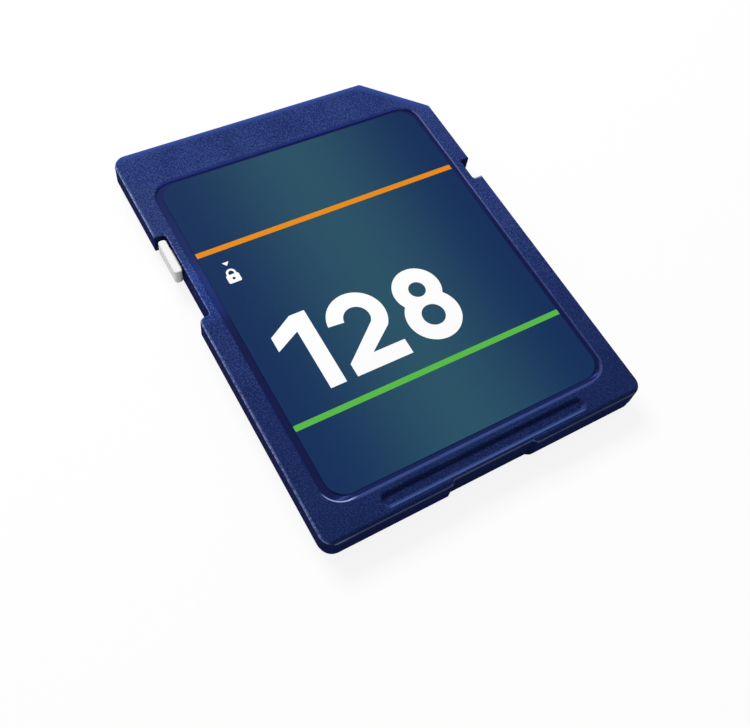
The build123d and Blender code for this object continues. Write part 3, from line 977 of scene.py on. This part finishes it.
# Floor: a wide sheet of plain white paper under the card.
# It shows white to the camera and in reflections, and keeps the card's shadow.
floor_half_size = 600 * mm
floor_white = (0.94, 0.94, 0.94)
floor_glow_share = 0.86
floor_shadow_reach = 70 * mm
floor_fade_reach = 300 * mm
floor_drop = 0.01 * mm

floor_mesh = bpy.data.meshes.new("floor")
floor_mesh.from_pydata(
    [
        (-floor_half_size, -floor_half_size, 0),
        (floor_half_size, -floor_half_size, 0),
        (floor_half_size, floor_half_size, 0),
        (-floor_half_size, floor_half_size, 0),
    ],
    [],
    [(0, 1, 2, 3)],
)
floor = bpy.data.objects.new("floor", floor_mesh)
floor.location.z = cad_low.z - floor_drop
bpy.context.scene.collection.objects.link(floor)


def seen_by_eye(shading):
    """1 where the surroundings are looked at, straight or mirrored, and 0 where they give light."""
    ray = put(shading, "ShaderNodeLightPath", {}).outputs
    mirrored = calc(shading, "MAXIMUM", ray["Is Glossy Ray"], ray["Is Transmission Ray"])
    return calc(shading, "MAXIMUM", ray["Is Camera Ray"], mirrored)


def mixed_light(finish, share, first, second):
    """Two shaders mixed; a share of 1 is the second one alone."""
    return put(finish, "ShaderNodeMixShader", {0: share, 1: first, 2: second}).outputs["Shader"]


paper = bpy.data.materials.new("white_paper")
paper.use_nodes = True
paper.node_tree.nodes.clear()
lit_paper = put(paper, "ShaderNodeBsdfDiffuse", {"Color": (*floor_white, 1)}).outputs["BSDF"]
glow = put(paper, "ShaderNodeEmission", {"Color": (1, 1, 1, 1), "Strength": 1.0}).outputs["Emission"]
floor_spot = put(paper, "ShaderNodeTexCoord", {}).outputs["Object"]
floor_reach = put(paper, "ShaderNodeVectorMath", {0: floor_spot}, operation="LENGTH").outputs["Value"]
glow_share = fade(paper, floor_reach, floor_shadow_reach, floor_fade_reach, floor_glow_share, 1.0)
seen_paper = mixed_light(paper, glow_share, lit_paper, glow)
paper_surface = mixed_light(paper, seen_by_eye(paper), lit_paper, seen_paper)
put(paper, "ShaderNodeOutputMaterial", {"Surface": paper_surface})
floor_mesh.materials.append(paper)

# Studio light: one soft box beyond the card's contact end, and an even room around it that
# shows white to the camera.
room_level = 0.40
key_place = Vector((-30, 170, 170)) * mm
key_target = Vector((0, 0, 0))
key_width = 140 * mm
key_height = 90 * mm
key_power = 0.558

key_lamp = bpy.data.lights.new("key_light", "AREA")
key_lamp.shape = "RECTANGLE"
key_lamp.size = key_width
key_lamp.size_y = key_height
key_lamp.energy = key_power
key_light = bpy.data.objects.new("key_light", key_lamp)
key_light.location = key_place
key_light.rotation_euler = (key_target - key_place).to_track_quat("-Z", "Y").to_euler()
bpy.context.scene.collection.objects.link(key_light)

room = bpy.data.worlds.new("room")
room.use_nodes = True
room_shade = room.node_tree.nodes["Background"]
room_shade.inputs["Color"].default_value = (1, 1, 1, 1)
room_strength = fade(room, seen_by_eye(room), 0.0, 1.0, room_level, 1.0, course="LINEAR")
room.node_tree.links.new(room_strength, room_shade.inputs["Strength"])
bpy.context.scene.world = room
bpy.context.scene.view_settings.view_transform = "Standard"

# Camera: above the near left corner, looking down on the label.
camera_place = Vector((-23.215, -29.519, 52.610)) * mm
camera_aim = Vector((-1.877, -7.966, 2.1)) * mm
camera_roll = radians(16.390)
camera_lens = 43.958
camera_sensor = 36.0
camera_shift = (-0.0413, 0.0120)
camera_near = 1 * mm
camera_far = 10_000 * mm

camera = bpy.data.cameras.new("camera")
camera.lens = camera_lens
camera.sensor_width = camera_sensor
camera.shift_x, camera.shift_y = camera_shift
camera.clip_start = camera_near
camera.clip_end = camera_far
camera_stand = bpy.data.objects.new("camera", camera)
camera_turn = (camera_aim - camera_place).to_track_quat("-Z", "Y").to_matrix()
camera_stand.matrix_world = Matrix.Translation(camera_place) @ (
    camera_turn @ Matrix.Rotation(camera_roll, 3, "Z")
).to_4x4()
bpy.context.scene.collection.objects.link(camera_stand)
bpy.context.scene.camera = camera_stand
